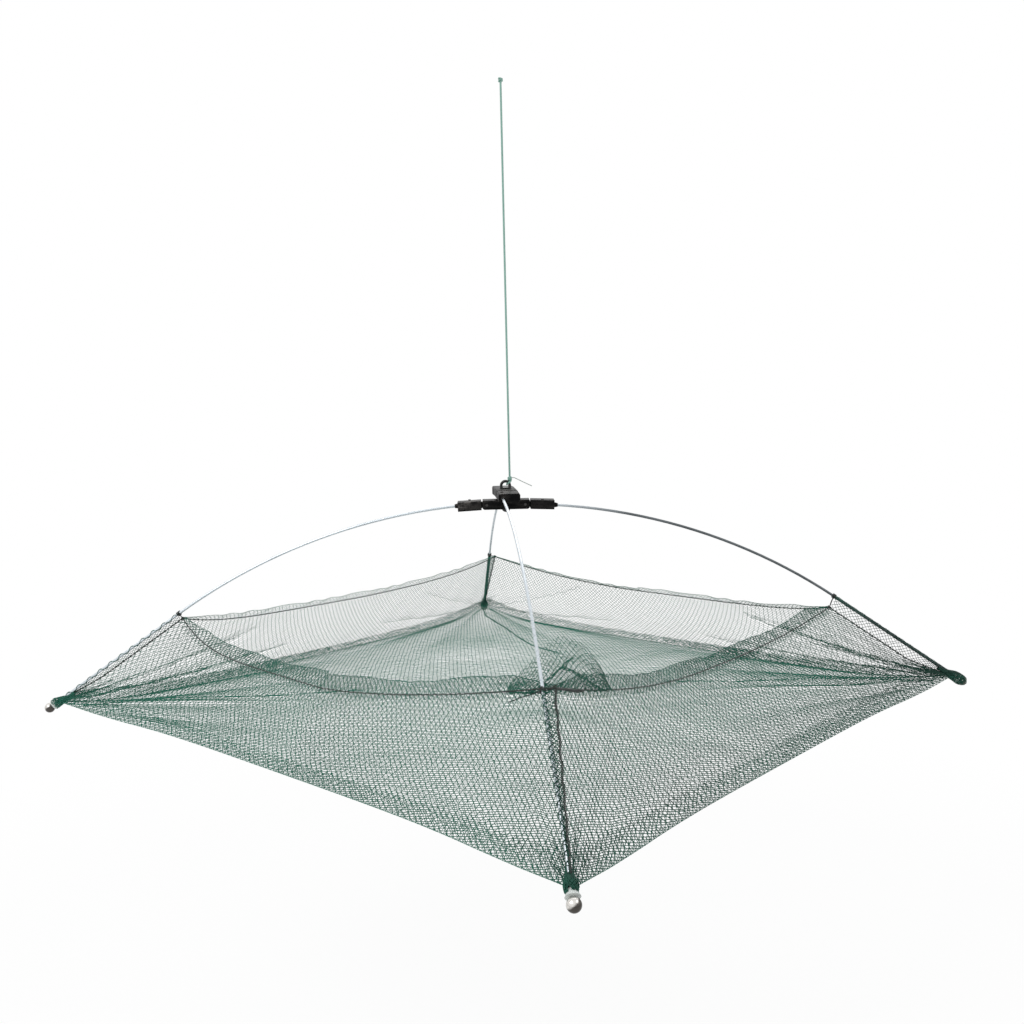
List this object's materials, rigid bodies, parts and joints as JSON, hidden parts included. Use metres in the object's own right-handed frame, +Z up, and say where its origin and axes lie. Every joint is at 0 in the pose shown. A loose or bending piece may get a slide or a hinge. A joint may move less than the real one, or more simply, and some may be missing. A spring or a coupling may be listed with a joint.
{
  "type": "folding crab trap",
  "caption": "Square folding crab trap: a net bag held open by four sprung arms hinged to a crossbar hub, with a ring and hauling line on top.",
  "frame": {"origin": "on the ground plane midway between the four tip balls, under the hub", "axes": "+Z up; the right arm points to +X; the front arm points about to -Y"},
  "size_m": [0.8576, 0.8562, 0.5576],
  "materials": {
    "black_plastic": "moulded black plastic, scuffed to grey on its tops",
    "black_metal": "black coated steel",
    "dark_steel": "dull dark steel pin",
    "spring_steel": "drawn spring steel wire",
    "nickel": "polished nickel plate",
    "clear_plastic": "whitish translucent plastic",
    "netting": "knotted dark green nylon netting",
    "dark_cord": "black braided cord",
    "line": "pale teal green braided line"
  },
  "bodies": {
    "hub": {"lower_bar": "black_plastic", "upper_bar": "black_plastic", "hinge_pin_left": "dark_steel", "hinge_pin_right": "dark_steel", "hinge_pin_near": "dark_steel", "hinge_pin_far": "dark_steel"},
    "eye": {"eye_pin": "black_metal", "eye_nut": "black_metal", "haul_line": "line", "line_knot": "line", "line_tail": "line", "line_end_knot": "line"},
    "arm_left": {"sleeve_left": "black_plastic", "rod_rivet_left": "dark_steel", "rod_left": "spring_steel", "tip_collar_left": "clear_plastic", "tip_ball_left": "nickel", "corner_bunch_left": "netting", "corner_cord_left": "dark_cord", "hem_tie_left": "dark_cord", "hem_cord_left": "dark_cord", "net_wall_left": "netting"},
    "floor_left": {"net_floor_left": "netting"},
    "arm_right": {"sleeve_right": "black_plastic", "rod_rivet_right": "dark_steel", "rod_right": "spring_steel", "tip_collar_right": "clear_plastic", "tip_ball_right": "nickel", "corner_bunch_right": "netting", "corner_cord_right": "dark_cord", "hem_tie_right": "dark_cord", "hem_cord_right": "dark_cord", "net_wall_right": "netting"},
    "floor_right": {"net_floor_right": "netting"},
    "arm_near": {"sleeve_near": "black_plastic", "rod_rivet_near": "dark_steel", "rod_near": "spring_steel", "tip_collar_near": "clear_plastic", "tip_ball_near": "nickel", "corner_bunch_near": "netting", "corner_cord_near": "dark_cord", "hem_tie_near": "dark_cord", "hem_cord_near": "dark_cord", "net_wall_near": "netting", "net_flap": "netting"},
    "floor_near": {"net_floor_near": "netting"},
    "arm_far": {"sleeve_far": "black_plastic", "rod_rivet_far": "dark_steel", "rod_far": "spring_steel", "tip_collar_far": "clear_plastic", "tip_ball_far": "nickel", "corner_bunch_far": "netting", "corner_cord_far": "dark_cord", "hem_tie_far": "dark_cord", "hem_cord_far": "dark_cord", "net_wall_far": "netting"},
    "floor_far": {"net_floor_far": "netting"}
  },
  "joints": [
    {"name": "fold_left", "type": "hinge", "parent": "hub", "child": "arm_left", "pos_m": [-0.01745, 0, 0.182], "axis": [0, -1, 0], "range_deg": [0, 62], "deforming": ["net_wall_left", "hem_cord_left"]},
    {"name": "fold_right", "type": "hinge", "parent": "hub", "child": "arm_right", "pos_m": [0.01745, 0, 0.182], "axis": [0, 1, 0], "range_deg": [0, 62], "deforming": ["net_wall_right", "hem_cord_right"]},
    {"name": "fold_near", "type": "hinge", "parent": "hub", "child": "arm_near", "pos_m": [0.00097, -0.01742, 0.192], "axis": [0.9984, 0.0558, 0], "range_deg": [0, 62], "deforming": ["net_wall_near", "hem_cord_near", "net_flap"]},
    {"name": "fold_far", "type": "hinge", "parent": "hub", "child": "arm_far", "pos_m": [-0.00097, 0.01742, 0.192], "axis": [-0.9984, -0.0558, 0], "range_deg": [0, 62], "deforming": ["net_wall_far", "hem_cord_far"]},
    {"name": "floor_left_fold", "type": "hinge", "parent": "hub", "child": "floor_left", "pos_m": [-0.08974, 0, 0.0816], "axis": [0, -1, 0], "range_deg": [0, 84.4], "deforming": ["net_floor_left"]},
    {"name": "floor_right_fold", "type": "hinge", "parent": "hub", "child": "floor_right", "pos_m": [0.08974, 0, 0.0816], "axis": [0, 1, 0], "range_deg": [0, 84.4], "deforming": ["net_floor_right"]},
    {"name": "floor_near_fold", "type": "hinge", "parent": "hub", "child": "floor_near", "pos_m": [0.00501, -0.0896, 0.0816], "axis": [0.9984, 0.0558, 0], "range_deg": [0, 84.4], "deforming": ["net_floor_near"]},
    {"name": "floor_far_fold", "type": "hinge", "parent": "hub", "child": "floor_far", "pos_m": [-0.00501, 0.0896, 0.0816], "axis": [-0.9984, -0.0558, 0], "range_deg": [0, 84.4], "deforming": ["net_floor_far"]},
    {"name": "eye_swivel", "type": "hinge", "parent": "hub", "child": "eye", "pos_m": [0, 0, 0.192], "axis": [0, 0, 1], "continuous": true}
  ],
  "couplings": [
    {"joint": "fold_right", "follows": "fold_left", "ratio": 1},
    {"joint": "fold_near", "follows": "fold_left", "ratio": 1},
    {"joint": "fold_far", "follows": "fold_left", "ratio": 1},
    {"joint": "floor_left_fold", "follows": "fold_left", "ratio": 1.3548},
    {"joint": "floor_right_fold", "follows": "fold_left", "ratio": 1.3548},
    {"joint": "floor_near_fold", "follows": "fold_left", "ratio": 1.3548},
    {"joint": "floor_far_fold", "follows": "fold_left", "ratio": 1.3548}
  ]
}
